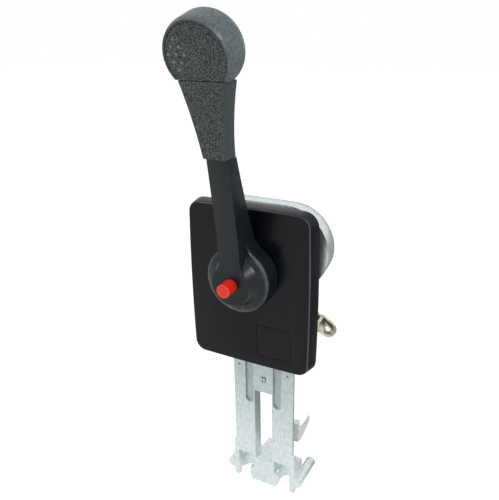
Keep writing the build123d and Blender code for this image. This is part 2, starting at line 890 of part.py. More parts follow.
with BuildPart() as throttle_crank:
    with BuildSketch(at_y(crank_front)):
        with BuildLine():
            lean = (crank_hub_r - crank_end_r) / crank_length
            up = sqrt(1 - lean * lean)
            hub_right = (crank_hub_r * up, -crank_hub_r * lean)
            end_right = (crank_end_r * up, -crank_length - crank_end_r * lean)
            end_left = (-end_right[0], end_right[1])
            hub_left = (-hub_right[0], hub_right[1])
            Line(hub_right, end_right)
            ThreePointArc(end_right, (0, -crank_length - crank_end_r), end_left)
            Line(end_left, hub_left)
            ThreePointArc(hub_left, (0, crank_hub_r), hub_right)
        make_face()
        add(flatted_circle(seat_r + seat_gap, flat_height + seat_gap), mode=Mode.SUBTRACT)
        with Locations((0, -crank_length)):
            Circle(stud_r + seat_gap, mode=Mode.SUBTRACT)
    extrude(amount=-crank_thickness)
finish(throttle_crank.part, "throttle_crank")


def cable_stud(x, z, plate_front, plate_back):
    with BuildPart() as turned:
        with BuildSketch(Plane.XY.offset(z)):
            with Locations((x, 0)):
                add(outline_of(
                    (0, plate_front),
                    (stud_r, plate_front),
                    (stud_r, plate_back),
                    (stud_flange_r, plate_back),
                    (stud_flange_r, plate_back + stud_flange_height),
                    (stud_r, plate_back + stud_flange_height),
                    (stud_r, plate_back + stud_flange_height + stud_length),
                    (0, plate_back + stud_flange_height + stud_length),
                ))
        revolve(axis=Axis((x, 0, z), (0, 1, 0)))
        with Locations(Location(Plane((x, plate_back + stud_length, z), z_dir=(1, 0, 0)))):
            Cylinder(0.8, 4 * stud_r, mode=Mode.SUBTRACT)
    return turned.part


with BuildPart() as throttle_stud:
    add(cable_stud(0, -crank_length, crank_front, crank_front + crank_thickness))
finish(throttle_stud.part, "throttle_stud")

crank_back = crank_front + crank_thickness
with BuildPart() as crank_washer:
    with BuildSketch(at_y(crank_back)):
        Circle(nut_flats / 2 + 2)
        Circle(thread_r + seat_gap, mode=Mode.SUBTRACT)
    extrude(amount=-washer_thickness)
finish(crank_washer.part, "crank_washer")

with BuildPart() as crank_nut:
    with BuildSketch(at_y(crank_back + washer_thickness)):
        RegularPolygon(nut_flats / 2, 6, major_radius=False)
        Circle(thread_r + seat_gap, mode=Mode.SUBTRACT)
    extrude(amount=-nut_height)
finish(crank_nut.part, "crank_nut")


# Shift shaft, toothed sector and arm

arm_front = rear_bush_back
arm_back = arm_front + arm_thickness
clip_thickness = 1.0
with BuildPart() as shift_shaft:
    with BuildSketch(Plane.XY.offset(shift_z)):
        add(outline_of(
            (0, 1.5),
            (shift_shaft_r, 1.5),
            (shift_shaft_r, arm_back + 0.1),
            (shift_shaft_r - 1, arm_back + 0.1),
            (shift_shaft_r - 1, arm_back + 0.2 + clip_thickness),
            (shift_shaft_r, arm_back + 0.2 + clip_thickness),
            (shift_shaft_r, arm_back + 1.1 + clip_thickness),
            (0, arm_back + 1.1 + clip_thickness),
        ))
    revolve(axis=shift_axis)
    for side in (-1, 1):
        with Locations((0, arm_front, shift_z + side * (shift_shaft_r - 1))):
            Box(
                2 * shift_shaft_r,
                arm_thickness,
                shift_shaft_r,
                align=(Align.CENTER, Align.MIN, Align.MIN if side > 0 else Align.MAX),
                mode=Mode.SUBTRACT,
            )
finish(shift_shaft.part, "shift_shaft")

with BuildPart() as shift_sector:
    half_step = pi / sector_teeth
    with BuildSketch(at_y(gear_front)) as sector_flat:
        with Locations((0, shift_z)):
            add(gear_outline(sector_teeth, half_step))
            reach = pitch_sector + 4 * module
            slope = radians(sector_half_angle)
            add(outline_of(
                (0, -2),
                (reach * sin(slope), reach * cos(slope)),
                (reach * sin(slope), reach),
                (-reach * sin(slope), reach),
                (-reach * sin(slope), reach * cos(slope)),
            ), mode=Mode.INTERSECT)
            Circle(shift_shaft_r + 4.6)
            Circle(shift_shaft_r + seat_gap, mode=Mode.SUBTRACT)
            with PolarLocations(pitch_sector * 0.66, 3, start_angle=50, angular_range=80):
                Circle(3.0, mode=Mode.SUBTRACT)
    extrude(amount=-gear_width)
    with BuildSketch(at_y(gear_front)):
        with Locations((0, shift_z)):
            Circle(shift_shaft_r + 4.6)
            Circle(shift_shaft_r + seat_gap, mode=Mode.SUBTRACT)
    extrude(amount=-(tray_depth - free_gap - gear_front))
finish(shift_sector.part, "shift_sector")

arm_reach = sqrt(tab_x ** 2 + (tab_z - shift_z) ** 2)
arm_angle = degrees(atan2(tab_z - shift_z, tab_x))
arm_plane = Plane((0, arm_front, shift_z), x_dir=(cos(radians(arm_angle)), 0, sin(radians(arm_angle))),
                  z_dir=(0, 1, 0))
joggle_start = second_hole_share + 3.2
with BuildPart() as shift_arm:
    with BuildSketch(Plane((0, 0, shift_z), x_dir=arm_plane.x_dir, z_dir=arm_plane.x_dir.cross(Vector(0, 1, 0)))):
        with BuildLine():
            Polyline(
                (-arm_hub_r, arm_front),
                (joggle_start, arm_front),
                (joggle_start + joggle, arm_front + joggle),
                (arm_reach + tab_end_r, arm_front + joggle),
                (arm_reach + tab_end_r, arm_back + joggle),
                (joggle_start + joggle - 1.0, arm_back + joggle),
                (joggle_start - 1.0, arm_back),
                (-arm_hub_r, arm_back),
                close=True,
            )
        make_face()
    extrude(amount=2 * arm_hub_r, both=True)
    with BuildSketch(arm_plane):
        with BuildLine():
            lean = (arm_hub_r - tab_end_r) / arm_reach
            across = sqrt(1 - lean * lean)
            Line((arm_hub_r * lean, arm_hub_r * across), (arm_reach + tab_end_r * lean, tab_end_r * across))
            ThreePointArc(
                (arm_reach + tab_end_r * lean, tab_end_r * across),
                (arm_reach + tab_end_r, 0),
                (arm_reach + tab_end_r * lean, -tab_end_r * across),
            )
            Line((arm_reach + tab_end_r * lean, -tab_end_r * across), (arm_hub_r * lean, -arm_hub_r * across))
            ThreePointArc((arm_hub_r * lean, -arm_hub_r * across), (-arm_hub_r, 0),
                          (arm_hub_r * lean, arm_hub_r * across))
        make_face()
    extrude(amount=arm_thickness + joggle + 1, mode=Mode.INTERSECT)
    with BuildSketch(arm_plane):
        with Locations((stud_share, 0)):
            Circle(stud_r + seat_gap)
        with Locations((second_hole_share, 0)):
            Circle(tab_hole_r)
        with Locations((arm_reach, 0)):
            Circle(tab_hole_r)
    extrude(amount=arm_thickness + joggle + 1, mode=Mode.SUBTRACT)
    with BuildSketch(at_y(arm_front)):
        with Locations((0, shift_z)):
            add(flatted_circle(shift_shaft_r + seat_gap, shift_shaft_r - 1 + seat_gap))
    extrude(amount=-arm_thickness, mode=Mode.SUBTRACT)
finish(shift_arm.part, "shift_arm")

stud_at = arm_plane.from_local_coords(Vector(stud_share, 0, 0))
with BuildPart() as shift_stud:
    add(cable_stud(stud_at.X, stud_at.Z, arm_front, arm_back))
finish(shift_stud.part, "shift_stud")

with BuildPart() as shift_clip:
    with BuildSketch(at_y(arm_back + 0.15)):
        with Locations((0, shift_z)):
            Circle(shift_shaft_r + 2.2)
            Circle(shift_shaft_r - 1 + seat_gap, mode=Mode.SUBTRACT)
            with Locations((0, -shift_shaft_r)):
                Rectangle(5, 2 * shift_shaft_r - 3, mode=Mode.SUBTRACT)
    extrude(amount=-clip_thickness)
finish(shift_clip.part, "shift_clip")


# Lever: arm and hub in one casting

lean = radians(arm_lean)
bend_drop = lean_start * tan(lean / 2)
front_bend = (hub_face - bend_drop, lean_start)
front_top = (hub_face - bend_drop - (arm_top - lean_start) * tan(lean), arm_top)
with BuildPart() as lever_arm:
    with BuildSketch(at_y(hub_back)):
        add(disc_with_arm(hub_r))
    extrude(amount=hub_back - hub_ledge - hub_shoulder)
    for y, radius in ((hub_shoulder, hub_r), (0.3 * hub_shoulder, hub_r - 0.6), (0, hub_ledge_r)):
        with BuildSketch(at_y(hub_ledge + y)):
            add(disc_with_arm(radius))
    loft(ruled=True)
    with BuildSketch(at_y(hub_back)):
        add(disc_with_arm(hub_face_r))
    extrude(amount=hub_back - front_top[0] + 5)
    with BuildSketch():
        add(outline_of(
            (0, hub_back),
            (hub_ledge_r, hub_back),
            (hub_ledge_r, hub_ledge),
            (hub_cone_r, hub_ledge - hub_ledge_rise),
            (hub_face_r, hub_face),
            (0, hub_face),
        ))
    revolve(axis=Axis.Y)
    with BuildSketch(Plane.YZ):
        with BuildLine():
            Polyline((hub_face, 0), (hub_face, -hub_r - 2), (hub_back, -hub_r - 2), (hub_back, arm_back_low[0] - 1))
            Line((hub_back, arm_back_low[0] - 1), (arm_back_low[1], arm_back_low[0]))
            ThreePointArc(
                (arm_back_low[1], arm_back_low[0]),
                (arm_back_mid[1], arm_back_mid[0]),
                (arm_back_high[1], arm_back_high[0]),
            )
            Line((arm_back_high[1], arm_back_high[0]), front_top)
            Line(front_top, front_bend)
            TangentArc(front_bend, (hub_face, 0), tangent=(sin(lean), -cos(lean)))
        make_face()
    extrude(amount=2 * hub_r, both=True, mode=Mode.INTERSECT)
    # rear boss, skirt recess and bores
    with BuildSketch(at_y(hub_back - 1)):
        Circle(washer_r)
    extrude(amount=hub_back - 1 - washer_front)
    with BuildSketch(at_y(hub_back)):
        Circle(hub_r - hub_skirt_wall)
        Circle(hub_inner_r, mode=Mode.SUBTRACT)
    extrude(amount=hub_back - hub_ledge - hub_skirt_wall, mode=Mode.SUBTRACT)
    with BuildSketch(at_y(shaft_front)):
        Circle(seat_r + seat_gap)
        with Locations((0, -flat_height - seat_gap)):
            Rectangle(4 * seat_r, 4 * seat_r, align=(Align.CENTER, Align.MAX), mode=Mode.SUBTRACT)
    extrude(amount=-(hub_back - shaft_front + 0.5 + seat_gap), mode=Mode.SUBTRACT)
    with BuildSketch(at_y(hub_back + 0.5 - seat_gap)):
        Circle(shaft_r + seat_gap)
    extrude(amount=-20, mode=Mode.SUBTRACT)
    with BuildSketch(at_y(shaft_front)):
        Circle(button_r + run_gap)
    extrude(amount=30, mode=Mode.SUBTRACT)
    set_screw_y = (shaft_front + hub_back) / 2
    with BuildSketch(Plane.XY.offset(-flat_height)):
        with Locations((0, set_screw_y)):
            Circle(3 + seat_gap)
    extrude(amount=-hub_r, mode=Mode.SUBTRACT)
    # tenon that carries the grip
    tenon_plane = Plane(
        ((0, (front_top[0] + arm_back_high[1]) / 2, arm_top - 1)),
        x_dir=(1, 0, 0),
        z_dir=(0, -sin(radians(tenon_lean)), cos(radians(tenon_lean))),
    )
    with BuildSketch(tenon_plane):
        RectangleRounded(tenon_width, tenon_depth, 1.5)
    extrude(amount=tenon_length)
    with BuildSketch(tenon_plane.offset(tenon_length)):
        Circle(stud_bolt_r + seat_gap)
    extrude(amount=-stud_bolt_bite - 1, mode=Mode.SUBTRACT)
finish(lever_arm.part, "lever_arm")

with BuildPart() as hub_set_screw:
    with Locations((0, set_screw_y, -flat_height)):
        Cylinder(3, hub_inner_r - flat_height - 0.5, align=(Align.CENTER, Align.CENTER, Align.MAX))
    with BuildSketch(Plane.XY.offset(-hub_inner_r + 0.5)):
        with Locations((0, set_screw_y)):
            RegularPolygon(1.5, 6, major_radius=False)
    extrude(amount=3, mode=Mode.SUBTRACT)
finish(hub_set_screw.part, "hub_set_screw")

# Knob: revolved about its own tilted axis

tilt = radians(knob_tilt)
knob_centre = Vector(0, knob_y, knob_z)
knob_axis = Vector(0, cos(tilt), sin(tilt))
knob_side = Plane(knob_centre, x_dir=(1, 0, 0), z_dir=(0, -sin(tilt), cos(tilt)))


def knob_solid():
    crown_mid = knob_depth - knob_crown_r
    crown_edge = crown_mid + sqrt(knob_crown_r ** 2 - knob_r ** 2)
    with BuildPart() as turned:
        with BuildSketch(knob_side) as half:
            with BuildLine():
                Line((0, 0), (knob_face_r, 0))
                ThreePointArc((knob_face_r, 0), (knob_r - 0.5, 0.45 * knob_flare), (knob_r, knob_flare))
                Line((knob_r, knob_flare), (knob_r, crown_edge))
                ThreePointArc(
                    (knob_r, crown_edge),
                    (knob_r / 2, crown_mid + sqrt(knob_crown_r ** 2 - knob_r ** 2 / 4)),
                    (0, knob_depth),
                )
                Line((0, knob_depth), (0, 0))
            make_face()
            outer = half.vertices().filter_by(lambda v: (v.center() - knob_centre).dot(knob_axis) > 10)
            fillet(outer.sort_by(Axis.X)[-1], knob_corner)
        revolve(axis=Axis(knob_centre, knob_axis))
    return turned.part


with BuildPart() as knob_body:
    add(knob_solid())
    with BuildSketch(Plane.XY.offset(seam_z + seam_gap)):
        with Locations((0, knob_y)):
            Rectangle(4 * knob_r, 4 * knob_r)
    extrude(amount=-2 * knob_r, mode=Mode.SUBTRACT)
    face_plane = Plane(knob_centre, x_dir=(1, 0, 0), z_dir=-knob_axis)
    with BuildSketch(face_plane.offset(1)):
        Circle(knob_pad_r + seat_gap)
    extrude(amount=-knob_pad_thickness - 1, mode=Mode.SUBTRACT)
    with BuildSketch(tenon_plane.offset(tenon_length)):
        Circle(stud_bolt_r + seat_gap)
    extrude(amount=stud_bolt_length - stud_bolt_bite + 1, mode=Mode.SUBTRACT)
finish(knob_body.part, "knob_body")

with BuildPart() as knob_pad:
    with BuildSketch(face_plane.offset(-knob_pad_thickness)):
        Circle(knob_pad_r)
    extrude(amount=knob_pad_thickness - 0.4)
    chamfer(knob_pad.faces().sort_by(Axis.Y)[0].edges(), 0.4)
    with BuildSketch(Plane.XY.offset(seam_z + seam_gap)):
        with Locations((0, knob_y)):
            Rectangle(4 * knob_r, 4 * knob_r)
    extrude(amount=-2 * knob_r, mode=Mode.SUBTRACT)
finish(knob_pad.part, "knob_pad")

with BuildPart() as knob_stud:
    with BuildSketch(tenon_plane.offset(tenon_length - stud_bolt_bite)):
        Circle(stud_bolt_r)
    extrude(amount=stud_bolt_length)
finish(knob_stud.part, "knob_stud")


# Grip: drafted sleeve between the arm's tenon and the knob

grip_sections = [
    # height, width, front y, back y
    (grip_bottom, 19.2, -73.6, -54.3),
    (134.0, 27.0, -79.2, -61.8),
    (seam_z, 36.4, -87.3, -65.0),
]
with BuildPart() as grip_sleeve:
    for height, width, front, back in grip_sections:
        with BuildSketch(Plane.XY.offset(height)) as ring:
            with Locations((0, (front + back) / 2)):
                Rectangle(width, back - front)
            chamfer(ring.vertices().group_by(Axis.Y)[0], 1.2)
            chamfer(ring.vertices().group_by(Axis.Y)[-1], 4.0)
    loft()
    with BuildSketch(tenon_plane.offset(-10)):
        RectangleRounded(tenon_width + 2 * seat_gap, tenon_depth + 2 * seat_gap, 1.5)
    extrude(amount=tenon_length + 10 + seat_gap, mode=Mode.SUBTRACT)
    with BuildSketch(tenon_plane):
        Circle(stud_bolt_r + seat_gap)
    extrude(amount=tenon_length + 40, mode=Mode.SUBTRACT)
finish(grip_sleeve.part, "grip_sleeve")


# Throttle-only button with its rod, dog pin and spring

with BuildPart() as throttle_button:
    with BuildSketch(at_y(hub_face + button_guide)):
        Circle(button_r)
    extrude(amount=hub_face + button_guide - button_tip)
    chamfer(throttle_button.faces().sort_by(Axis.Y)[0].edges(), 0.7)
    with BuildSketch(at_y(hub_face + button_guide)):
        Circle(rod_r + seat_gap)
    extrude(amount=8, mode=Mode.SUBTRACT)
finish(throttle_button.part, "throttle_button")

with BuildPart() as button_rod:
    with BuildSketch(at_y(hub_face + button_guide - 8)):
        Circle(rod_r)
    extrude(amount=-(dog_y + 2 * dog_r - hub_face - button_guide + 8))
    with Locations(Location(Plane((0, dog_y, 0), z_dir=(1, 0, 0)))):
        Cylinder(dog_r + seat_gap, 4 * rod_r, mode=Mode.SUBTRACT)
finish(button_rod.part, "button_rod")

with BuildPart() as dog_pin:
    with Locations(Location(Plane((0, dog_y, 0), z_dir=(1, 0, 0)))):
        Cylinder(dog_r, dog_length)
    chamfer(dog_pin.edges().filter_by(GeomType.CIRCLE), 0.25)
finish(dog_pin.part, "dog_pin")

button_coil_length = shaft_front - (hub_face + button_guide) - 1.0
button_coil = coil(4.2, 0.5, 4, button_coil_length, Plane((0, shaft_front - 0.5, 0), z_dir=(0, -1, 0)))
finish(button_coil, "button_spring")
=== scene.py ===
import json

import bmesh
import bpy
import numpy as np
from mathutils import Matrix, Vector


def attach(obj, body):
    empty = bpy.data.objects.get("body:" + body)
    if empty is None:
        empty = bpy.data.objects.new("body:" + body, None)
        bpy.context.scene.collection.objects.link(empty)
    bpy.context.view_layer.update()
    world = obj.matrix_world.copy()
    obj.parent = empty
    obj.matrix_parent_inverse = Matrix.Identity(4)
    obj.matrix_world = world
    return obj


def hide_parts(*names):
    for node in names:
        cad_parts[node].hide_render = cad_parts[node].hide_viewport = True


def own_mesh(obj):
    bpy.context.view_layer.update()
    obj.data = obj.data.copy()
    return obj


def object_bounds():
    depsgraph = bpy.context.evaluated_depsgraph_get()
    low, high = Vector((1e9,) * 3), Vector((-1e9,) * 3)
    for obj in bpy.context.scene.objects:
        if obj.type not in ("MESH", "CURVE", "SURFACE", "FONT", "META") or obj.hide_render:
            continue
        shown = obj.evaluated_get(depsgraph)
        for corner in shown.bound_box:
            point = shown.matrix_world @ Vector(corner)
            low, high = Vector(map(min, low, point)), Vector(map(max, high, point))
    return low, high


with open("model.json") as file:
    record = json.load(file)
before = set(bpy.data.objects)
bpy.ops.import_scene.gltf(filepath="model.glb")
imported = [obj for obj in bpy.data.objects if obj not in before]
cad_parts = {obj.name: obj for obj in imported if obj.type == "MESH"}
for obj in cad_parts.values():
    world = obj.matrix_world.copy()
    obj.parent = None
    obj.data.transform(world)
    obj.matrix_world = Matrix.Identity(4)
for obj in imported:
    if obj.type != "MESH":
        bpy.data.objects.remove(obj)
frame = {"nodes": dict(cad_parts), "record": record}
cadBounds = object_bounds()
nodes = frame["nodes"]
mm = 0.001


# camera: at the photograph's viewing angle, with its slight roll
cameraValues = {
    "eye": (227.3, -442.0, 211.0),      # mm
    "target": (-3.91, -15.0, 15.55),    # mm
    "rollDegrees": -1.02,
    "lens": 44.59,                      # mm
    "sensor": 36,
    "nearest": 0.01,                    # m
}


def makeCamera(v):
    eye = Vector(v["eye"]) * mm
    back = (eye - Vector(v["target"]) * mm).normalized()
    right = Vector((0, 0, 1)).cross(back).normalized()
    up = back.cross(right)
    roll = np.radians(v["rollDegrees"])
    tiltedRight = right * np.cos(roll) + up * np.sin(roll)
    tiltedUp = up * np.cos(roll) - right * np.sin(roll)
    data = bpy.data.cameras.new("photoCamera")
    data.lens = v["lens"]
    data.sensor_width = v["sensor"]
    data.clip_start = v["nearest"]
    camera = bpy.data.objects.new("photoCamera", data)
    turn = Matrix((tiltedRight, tiltedUp, back)).transposed().to_4x4()
    camera.matrix_world = Matrix.Translation(eye) @ turn
    bpy.context.scene.collection.objects.link(camera)
    bpy.context.scene.camera = camera


makeCamera(cameraValues)
bpy.context.scene.view_settings.view_transform = "Standard"
print("camera set")


# material helpers

def linearColour(hexCode):  # sRGB to linear: divided by 12.92 below 0.04045, the 2.4 power above
    channels = np.array([int(hexCode[i:i + 2], 16) for i in (1, 3, 5)]) / 255
    low = channels / 12.92
    high = ((channels + 0.055) / 1.055) ** 2.4
    return (*np.where(channels <= 0.04045, low, high), 1.0)


def addNode(tree, kind, links=None, **settings):  # settings go to sockets or properties, links to other outputs
    node = tree.nodes.new(kind)
    for name, value in settings.items():
        socket = next((s for s in node.inputs if s.name.replace(" ", "") == name), None)
        if socket is not None:
            socket.default_value = value
        else:
            setattr(node, name, value)
    for name, source in (links or {}).items():
        tree.links.new(node.inputs[name], source)
    return node


def newMaterial(name):
    material = bpy.data.materials.new(name)
    material.use_nodes = True
    tree = material.node_tree
    tree.nodes.clear()
    return material, tree


def finishMaterial(tree, shader):
    output = addNode(tree, "ShaderNodeOutputMaterial")
    tree.links.new(output.inputs["Surface"], shader.outputs[0])


def colourRamp(tree, fac, low, high, dark, light):  # dark below low, light above high
    node = addNode(tree, "ShaderNodeValToRGB", {"Fac": fac})
    node.color_ramp.elements[0].position = low
    node.color_ramp.elements[0].color = linearColour(dark)
    node.color_ramp.elements[1].position = high
    node.color_ramp.elements[1].color = linearColour(light)
    return node.outputs["Color"]


def noise(tree, place, patternMm, detail=3.0):  # repeats about every patternMm millimetres
    node = addNode(tree, "ShaderNodeTexNoise", {"Vector": place}, Scale=1000.0 / patternMm, Detail=detail,
                   Roughness=0.55)
    return node.outputs["Fac"]


def band(tree, fac, low, high):  # a value that runs from low to high with a texture
    return addNode(tree, "ShaderNodeMapRange", {"Value": fac}, ToMin=low, ToMax=high).outputs[0]


def objectPlace(tree):
    return addNode(tree, "ShaderNodeTexCoord").outputs["Object"]


def objectFacing(tree):  # the surface's own direction along Y: -1 to the front, 0 to a side
    facing = addNode(tree, "ShaderNodeTexCoord")
    return addNode(tree, "ShaderNodeSeparateXYZ", {0: facing.outputs["Normal"]}).outputs["Y"]


def ramp(tree, value, start, end, low=0.0, high=1.0):  # low at start, high at end, level beyond both
    return addNode(tree, "ShaderNodeMapRange", {"Value": value}, FromMin=start, FromMax=end,
                   ToMin=low, ToMax=high).outputs[0]


def combine(tree, operation, one, other):
    return addNode(tree, "ShaderNodeMath", {0: one, 1: other}, operation=operation).outputs[0]


def absolute(tree, value):
    return addNode(tree, "ShaderNodeMath", {0: value}, operation="ABSOLUTE").outputs[0]


def mixColours(tree, factor, one, other):
    colour = addNode(tree, "ShaderNodeMix", data_type="RGBA")
    for socket, source in ((0, factor), (6, one), (7, other)):
        tree.links.new(colour.inputs[socket], source)
    return colour.outputs[2]


# housing: zinc-aluminium die casting, tumbled: pale and bright, with a mottled cast skin, painted shade and painted
# reflection of the dark cover on the neck under it, and painted shade in the grooves
castValues = {
    "near": "#bfcfce",      # painted shade and painted reflection of the dark cover: the neck just under the tray
    "far": "#f2fcfc",       # the foot, and the tray itself
    "mottle": (0.55, 1.2),
    "patchMm": 3.0,
    "stretch": 0.6,         # the mottle runs along the neck
    "footFade": (-95, -200),        # mm along Z, where the painted cover shade fades into far
    "trayFade": (-78, -60),
    "grooveShade": 0.74,            # painted shade in the grooves
    "grooveTop": (-76, -79),        # mm along Z
    "grooveEnd": (-152, -149),
    "grooveInner": (10.2, 10.4),    # mm from the neck's middle
    "grooveDepth": (0.6, 2.2),      # mm behind the neck's front
    "skinMm": 1.5,          # drawn about twice as coarse as the real skin so that it shows
    "skinDepth": 0.09,      # mm
    "metallic": 0.95,
    "roughness": (0.26, 0.44),
}


def castMetal(name, v):
    # colour = cover shade + (far - cover shade) x (rising towards the foot, or into the tray), times mottle, times
    # groove shade; the cover shade is painted shade and painted reflection of the dark cover, the groove shade is
    # painted shade
    material, tree = newMaterial(name)
    place = objectPlace(tree)
    parts = addNode(tree, "ShaderNodeSeparateXYZ", {0: place})
    across, depth, height = (parts.outputs[axis] for axis in "XYZ")

    def inMm(value, ends):
        return ramp(tree, value, ends[0] * mm, ends[1] * mm)

    # painted shade: darkest on the neck just under the cover, fading out towards the foot and into the tray
    outOfCoverShade = combine(tree, "MAXIMUM", inMm(height, v["footFade"]), inMm(height, v["trayFade"]))
    # painted shade mask: 1 inside the grooves, where the colour is darkened as shade
    groove = combine(tree, "MULTIPLY", inMm(height, v["grooveTop"]), inMm(height, v["grooveEnd"]))
    groove = combine(tree, "MULTIPLY", groove, inMm(absolute(tree, across), v["grooveInner"]))
    groove = combine(tree, "MULTIPLY", groove, inMm(depth, v["grooveDepth"]))
    drawn = addNode(tree, "ShaderNodeMapping", {0: place})
    drawn.inputs["Scale"].default_value = (1.0, 1.0, v["stretch"])
    patch = noise(tree, drawn.outputs[0], v["patchMm"], 7.0)
    skin = noise(tree, place, v["skinMm"], 3.0)
    shade = combine(tree, "MULTIPLY", band(tree, patch, *v["mottle"]), band(tree, groove, 1.0, v["grooveShade"]))
    base = colourRamp(tree, outOfCoverShade, 0.0, 1.0, v["near"], v["far"])
    colour = addNode(tree, "ShaderNodeVectorMath", {0: base, 1: shade}, operation="MULTIPLY")
    bump = addNode(tree, "ShaderNodeBump", {"Height": skin}, Strength=0.7, Distance=v["skinDepth"] * mm)
    shader = addNode(
        tree, "ShaderNodeBsdfPrincipled",
        {"Base Color": colour.outputs[0], "Roughness": band(tree, skin, *v["roughness"]), "Normal": bump.outputs[0]},
        Metallic=v["metallic"],
    )
    finishMaterial(tree, shader)
    return material


# moulded and painted surfaces, with a painted highlight on their rounded edges
mouldedValues = {
    # edge: painted highlight colour on the rounded edges
    # ABS from a spark-eroded tool: near black with a fine even satin that greys under a lamp
    "coverAbs": {"dark": "#06070d", "light": "#0c1017", "edge": "#6a7074",
                 "patchMm": 90.0, "grainMm": 0.9, "grainDepth": 0.02,
                 "roughness": (0.24, 0.31), "specular": 0.23},
    "insertAbs": {"dark": "#06070d", "light": "#0c1017", "edge": "#23272a",
                  "patchMm": 40.0, "grainMm": 0.9, "grainDepth": 0.02,
                  "roughness": (0.28, 0.36), "specular": 0.23},
    # satin powder paint on the cast lever: charcoal with a slight orange peel
    "leverPaint": {"dark": "#12171b", "light": "#1b2226", "edge": "#626a6e",
                   "patchMm": 45.0, "grainMm": 1.5, "grainDepth": 0.035,
                   "roughness": (0.24, 0.31), "specular": 0.32},
    # acetal: smooth, glossy red
    "buttonAcetal": {"dark": "#ec2210", "light": "#fb3520", "edge": "#ff6a50",
                     "patchMm": 12.0, "grainMm": 0.8, "grainDepth": 0.004,
                     "roughness": (0.2, 0.28), "specular": 0.5},
    # natural nylon: milky white
    "clipNylon": {"dark": "#f4f4f0", "light": "#ffffff", "edge": "#ffffff",
                  "patchMm": 10.0, "grainMm": 0.8, "grainDepth": 0.006,
                  "roughness": (0.36, 0.44), "specular": 0.5},
}


# painted highlight on rounded edges: share of the front direction, from the side's end to the front's end of a rounded
# edge
edgeHighlightValues = {
    "sideEnd": (0.52, 0.6),
    "frontEnd": (0.9, 0.82),
}


def paintedEdgeHighlight(tree, v):  # painted highlight mask: 1 on a rounded edge that leans about 35 to 55 degrees off the front, 0 beside it
    lean = absolute(tree, objectFacing(tree))
    return combine(tree, "MULTIPLY", ramp(tree, lean, *v["sideEnd"]), ramp(tree, lean, *v["frontEnd"]))


def moulded(name, v):
    material, tree = newMaterial(name)
    place = objectPlace(tree)
    patch = noise(tree, place, v["patchMm"])
    plain = colourRamp(tree, patch, 0.35, 0.68, v["dark"], v["light"])
    # painted highlight: the edge colour laid on the rounded edges
    edgeHighlightColour = colourRamp(tree, patch, 0.35, 0.68, v["light"], v["edge"])
    grain = noise(tree, place, v["grainMm"], 2.0)
    bump = addNode(tree, "ShaderNodeBump", {"Height": grain}, Strength=0.8, Distance=v["grainDepth"] * mm)
    shader = addNode(
        tree, "ShaderNodeBsdfPrincipled",
        {"Base Color": mixColours(tree, paintedEdgeHighlight(tree, edgeHighlightValues), plain, edgeHighlightColour),
         "Roughness": band(tree, patch, *v["roughness"]), "Normal": bump.outputs[0]},
        IOR=1.5,
    )
    shader.inputs["Specular IOR Level"].default_value = v["specular"]
    finishMaterial(tree, shader)
    return material


# grip and knob: PVC, smooth at the sides and pressed with a fine sand-like grain on the face towards the hand
vinylValues = {
    "gripVinyl": {"valley": "#192020", "crown": "#707a79", "smooth": ("#323a3c", "#434c4f"),
                  "depth": 0.3, "roughness": (0.36, 0.55)},
    "knobVinyl": {"valley": "#252b2c", "crown": "#5b6463", "smooth": ("#454f51", "#69747a"),
                  "depth": 0.2, "roughness": (0.36, 0.5)},
    "padVinyl": {"valley": "#182020", "crown": "#6f7b7a", "smooth": ("#3f4849", "#586264"),
                 "depth": 0.32, "roughness": (0.34, 0.52)},
    "dotVinyl": {"valley": "#6b7675", "crown": "#808c8b", "smooth": ("#6b7675", "#808c8b"),
                 "depth": 0.02, "roughness": (0.3, 0.4)},
}
grainValues = {
    "grainMm": 0.85,
    "roughMm": 0.68,
    "cloudMm": 2.04,
    "front": (-0.86, -0.7),     # the direction along Y over which the grain ends
    "specular": 0.4,
}


def grainedVinyl(name, v, g):  # grain where the surface faces front, plain vinyl where it turns away
    material, tree = newMaterial(name)
    place = objectPlace(tree)
    front = ramp(tree, objectFacing(tree), *g["front"], 1.0, 0.0)
    cells = addNode(tree, "ShaderNodeTexVoronoi", {"Vector": place}, Scale=1000.0 / g["grainMm"],
                    feature="SMOOTH_F1", Smoothness=0.35, Randomness=1.0)
    rise = ramp(tree, cells.outputs["Distance"], 0.15, 0.75, 1.0, 0.0)
    grain = combine(tree, "MULTIPLY", rise, noise(tree, place, g["roughMm"], 3.0))
    grainColour = colourRamp(tree, grain, 0.16, 0.46, v["valley"], v["crown"])
    cloud = noise(tree, place, g["cloudMm"], 6.0)
    plainColour = colourRamp(tree, cloud, 0.32, 0.68, *v["smooth"])
    bump = addNode(tree, "ShaderNodeBump", {"Height": combine(tree, "MULTIPLY", grain, front)}, Strength=1.0,
                   Distance=v["depth"] * mm)
    shader = addNode(
        tree, "ShaderNodeBsdfPrincipled",
        {"Base Color": mixColours(tree, front, plainColour, grainColour),
         "Roughness": band(tree, grain, *v["roughness"]), "Normal": bump.outputs[0]},
        IOR=1.5,
    )
    shader.inputs["Specular IOR Level"].default_value = g["specular"]
    finishMaterial(tree, shader)
    return material


